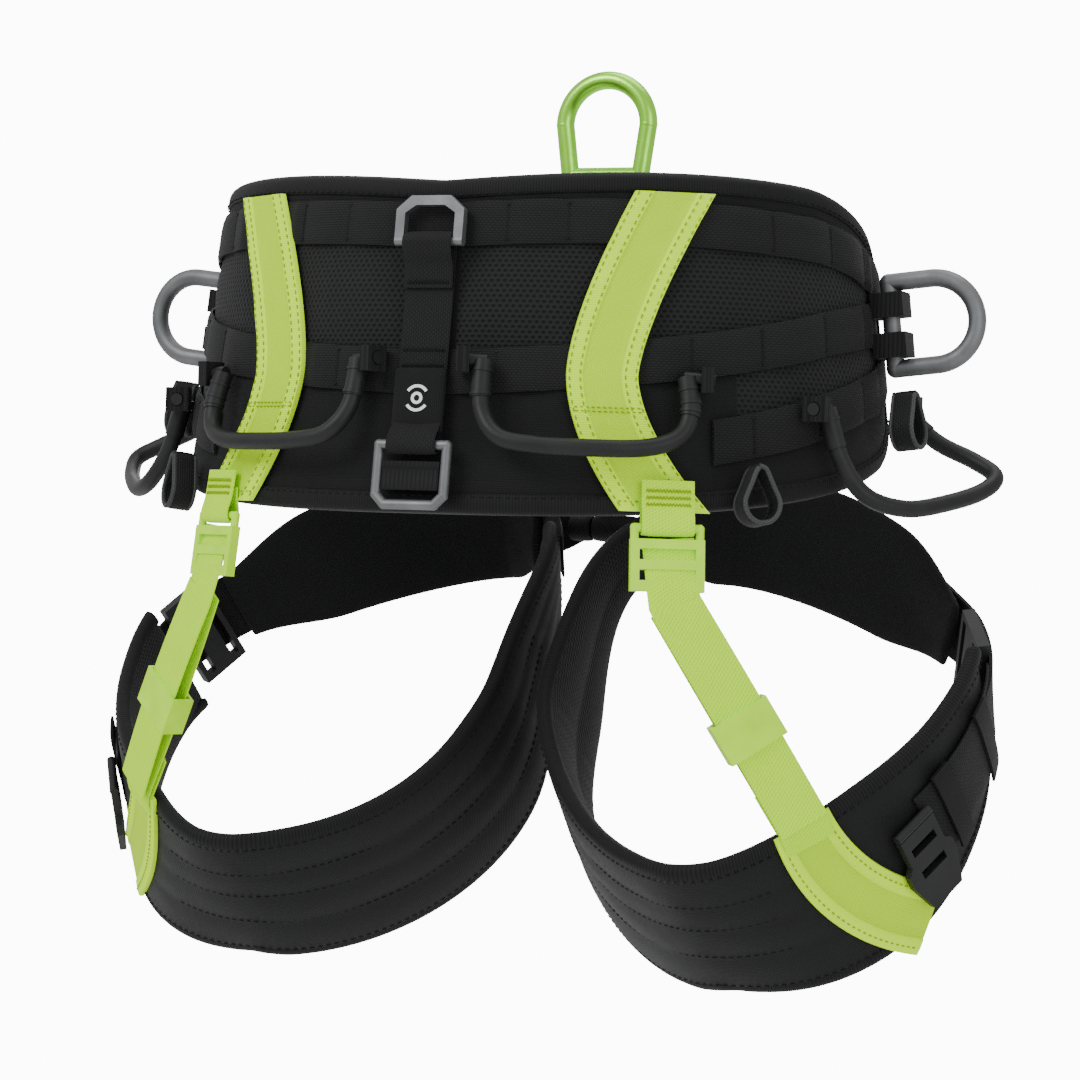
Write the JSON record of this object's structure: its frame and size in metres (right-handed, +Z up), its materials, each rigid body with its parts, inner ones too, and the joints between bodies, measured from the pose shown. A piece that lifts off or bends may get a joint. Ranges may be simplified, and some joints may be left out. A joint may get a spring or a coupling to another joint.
{
  "type": "tree climbing saddle",
  "caption": "Padded arborist saddle with a wide back belt, two thigh loops on elastic risers, a ventral ring, hip rings and folding gear loops.",
  "frame": {"origin": "centre of the waist opening, 12 mm below the lower edge of the belt at the spine", "axes": "+Y to the wearer's front, +X to the wearer's right, +Z up"},
  "size_m": [0.5226, 0.3013, 0.5034],
  "materials": {
    "shell_fabric": "matte woven black textile",
    "foam": "closed-cell foam, hidden",
    "liner_mesh": "soft spacer mesh",
    "binding": "smooth folded binding",
    "mesh_fabric": "open spacer mesh",
    "webbing_black": "dense flat webbing",
    "tape_green": "bright yellow-green tape",
    "plastic_black": "moulded, slightly satin",
    "plastic_green": "moulded, satin",
    "alloy_grey": "forged, bead-blasted grey",
    "alloy_green": "forged, bright green anodised",
    "tag_plastic": "thin white plastic"
  },
  "bodies": {
    "belt": {"belt_shell": "shell_fabric", "belt_foam": "foam", "belt_liner": "liner_mesh", "binding_top": "binding", "binding_bottom": "binding", "mesh_panels": "mesh_fabric", "webbing_upper": "webbing_black", "webbing_middle": "webbing_black", "webbing_lower": "webbing_black", "spine_strap": "webbing_black", "tag_pocket": "webbing_black", "scan_tag": "tag_plastic", "yoke_left": "tape_green", "yoke_right": "tape_green", "riser_tabs": "tape_green", "gear_anchors": "webbing_black", "ring_blocks": "webbing_black", "waist_straps": "webbing_black", "waist_buckle_frame": "alloy_grey", "waist_buckle_tongue": "alloy_grey", "waist_keeper": "plastic_black", "front_bridge": "webbing_black", "riser_left": "tape_green", "riser_right": "tape_green"},
    "waist_latch_upper": {"waist_latch_upper": "alloy_grey"},
    "waist_latch_lower": {"waist_latch_lower": "alloy_grey"},
    "front_ring": {"front_ring": "alloy_green"},
    "side_ring_left": {"side_ring_left": "alloy_grey"},
    "side_ring_right": {"side_ring_right": "alloy_grey"},
    "spine_hanger": {"spine_hanger": "alloy_grey"},
    "gear_loop_rear_left": {"gear_loop_rear_left": "plastic_black"},
    "gear_loop_rear_right": {"gear_loop_rear_right": "plastic_black"},
    "gear_loop_side_left": {"gear_loop_side_left": "plastic_black"},
    "gear_loop_side_right": {"gear_loop_side_right": "plastic_black"},
    "tool_loop_left": {"tool_loop_left": "webbing_black"},
    "tool_loop_right": {"tool_loop_right": "webbing_black"},
    "tool_loop_hip_left": {"tool_loop_hip_left": "webbing_black"},
    "tool_loop_hip_right": {"tool_loop_hip_right": "webbing_black"},
    "ladder_lock_left": {"ladder_lock_left": "plastic_green"},
    "ladder_lock_right": {"ladder_lock_right": "plastic_green"},
    "riser_keeper_left": {"riser_keeper_left": "plastic_green"},
    "riser_keeper_right": {"riser_keeper_right": "plastic_green"},
    "leg_clip_left": {"leg_clip_left": "plastic_black"},
    "leg_clip_right": {"leg_clip_right": "plastic_black"},
    "lower_hanger": {"lower_hanger": "alloy_grey", "hanger_patch": "webbing_black"},
    "thigh_left": {"leg_shell_left": "shell_fabric", "leg_foam_left": "foam", "leg_liner_left": "liner_mesh", "leg_band_left": "webbing_black", "leg_tape_left": "tape_green", "leg_strap_left": "webbing_black", "leg_buckle_left": "alloy_grey"},
    "thigh_right": {"leg_shell_right": "shell_fabric", "leg_foam_right": "foam", "leg_liner_right": "liner_mesh", "leg_band_right": "webbing_black", "leg_tape_right": "tape_green", "leg_strap_right": "webbing_black", "leg_buckle_right": "alloy_grey"}
  },
  "joints": [
    {"name": "front_ring_swing", "type": "hinge", "parent": "belt", "child": "front_ring", "pos_m": [0, 0.086, 0.191], "axis": [1, 0, 0], "range_deg": [-80, 25]},
    {"name": "side_ring_left_swing", "type": "hinge", "parent": "belt", "child": "side_ring_left", "pos_m": [-0.19866, 0.00774, 0.1195], "axis": [-0.1152, 0.0076, -0.9933], "range_deg": [-60, 60]},
    {"name": "gear_loop_rear_left_lift", "type": "hinge", "parent": "belt", "child": "gear_loop_rear_left", "pos_m": [-0.03489, -0.15652, 0.09], "axis": [-0.9363, 0.3465, -0.0577], "range_deg": [0, 55]},
    {"name": "gear_loop_side_left_lift", "type": "hinge", "parent": "belt", "child": "gear_loop_side_left", "pos_m": [-0.18688, -0.06292, 0.072], "axis": [-0.1754, 0.9833, 0.0486], "range_deg": [0, 15]},
    {"name": "tool_loop_left_swing", "type": "hinge", "parent": "belt", "child": "tool_loop_left", "pos_m": [-0.16439, -0.10258, 0.04107], "axis": [-0.7048, 0.7094, 0], "range_deg": [0, 60]},
    {"name": "tool_loop_hip_left_swing", "type": "hinge", "parent": "belt", "child": "tool_loop_hip_left", "pos_m": [-0.21317, -0.01198, 0.0835], "axis": [-0.0892, 0.996, 0], "range_deg": [0, 35]},
    {"name": "ladder_lock_left_swing", "type": "hinge", "parent": "belt", "child": "ladder_lock_left", "pos_m": [-0.12717, -0.12968, 0.008], "axis": [-0.8508, 0.5255, 0], "range_deg": [-8, 20], "deforming": ["riser_left"]},
    {"name": "thigh_left_lift", "type": "hinge", "parent": "belt", "child": "thigh_left", "pos_m": [0, 0.12, 0.008], "axis": [-1, 0, 0], "range_deg": [0, 25], "deforming": ["riser_left"]},
    {"name": "riser_keeper_left_slide", "type": "slide", "parent": "thigh_left", "child": "riser_keeper_left", "axis": [-0.4589, 0.295, -0.8381], "range_m": [-0.015, 0.015]},
    {"name": "leg_clip_left_swing", "type": "hinge", "parent": "thigh_left", "child": "leg_clip_left", "pos_m": [-0.23483, -0.04524, -0.14019], "axis": [-0.4466, 0.6215, 0.6436], "range_deg": [0, 60]},
    {"name": "side_ring_right_swing", "type": "hinge", "parent": "belt", "child": "side_ring_right", "pos_m": [0.19866, 0.00774, 0.1195], "axis": [-0.1152, -0.0076, 0.9933], "range_deg": [-60, 60]},
    {"name": "gear_loop_rear_right_lift", "type": "hinge", "parent": "belt", "child": "gear_loop_rear_right", "pos_m": [0.03489, -0.15652, 0.09], "axis": [-0.9363, -0.3465, 0.0577], "range_deg": [0, 55]},
    {"name": "gear_loop_side_right_lift", "type": "hinge", "parent": "belt", "child": "gear_loop_side_right", "pos_m": [0.18688, -0.06292, 0.072], "axis": [-0.1754, -0.9833, -0.0486], "range_deg": [0, 15]},
    {"name": "tool_loop_right_swing", "type": "hinge", "parent": "belt", "child": "tool_loop_right", "pos_m": [0.16439, -0.10258, 0.04107], "axis": [-0.7048, -0.7094, 0], "range_deg": [0, 60]},
    {"name": "tool_loop_hip_right_swing", "type": "hinge", "parent": "belt", "child": "tool_loop_hip_right", "pos_m": [0.21317, -0.01198, 0.0835], "axis": [-0.0892, -0.996, 0], "range_deg": [0, 35]},
    {"name": "ladder_lock_right_swing", "type": "hinge", "parent": "belt", "child": "ladder_lock_right", "pos_m": [0.12717, -0.12968, 0.008], "axis": [-0.8508, -0.5255, 0], "range_deg": [-8, 20], "deforming": ["riser_right"]},
    {"name": "thigh_right_lift", "type": "hinge", "parent": "belt", "child": "thigh_right", "pos_m": [0, 0.12, 0.008], "axis": [-1, 0, 0], "range_deg": [0, 25], "deforming": ["riser_right"]},
    {"name": "riser_keeper_right_slide", "type": "slide", "parent": "thigh_right", "child": "riser_keeper_right", "axis": [0.4589, 0.295, -0.8381], "range_m": [-0.015, 0.015]},
    {"name": "leg_clip_right_swing", "type": "hinge", "parent": "thigh_right", "child": "leg_clip_right", "pos_m": [0.23483, -0.04524, -0.14019], "axis": [-0.4466, -0.6215, -0.6436], "range_deg": [0, 60]},
    {"name": "spine_hanger_fold", "type": "hinge", "parent": "belt", "child": "spine_hanger", "pos_m": [0, -0.1504, 0.15132], "axis": [1, 0, 0], "range_deg": [0, 100]},
    {"name": "lower_hanger_swing", "type": "hinge", "parent": "belt", "child": "lower_hanger", "pos_m": [0, -0.16259, 0.04652], "axis": [-1, 0, 0], "range_deg": [0, 100]},
    {"name": "waist_latch_upper_press", "type": "slide", "parent": "belt", "child": "waist_latch_upper", "axis": [-0.0633, 0.0966, -0.9933], "range_m": [0, 0.0025], "stiffness_N_per_m": 400},
    {"name": "waist_latch_lower_press", "type": "slide", "parent": "belt", "child": "waist_latch_lower", "axis": [0.0633, -0.0966, 0.9933], "range_m": [0, 0.0025], "stiffness_N_per_m": 400}
  ]
}
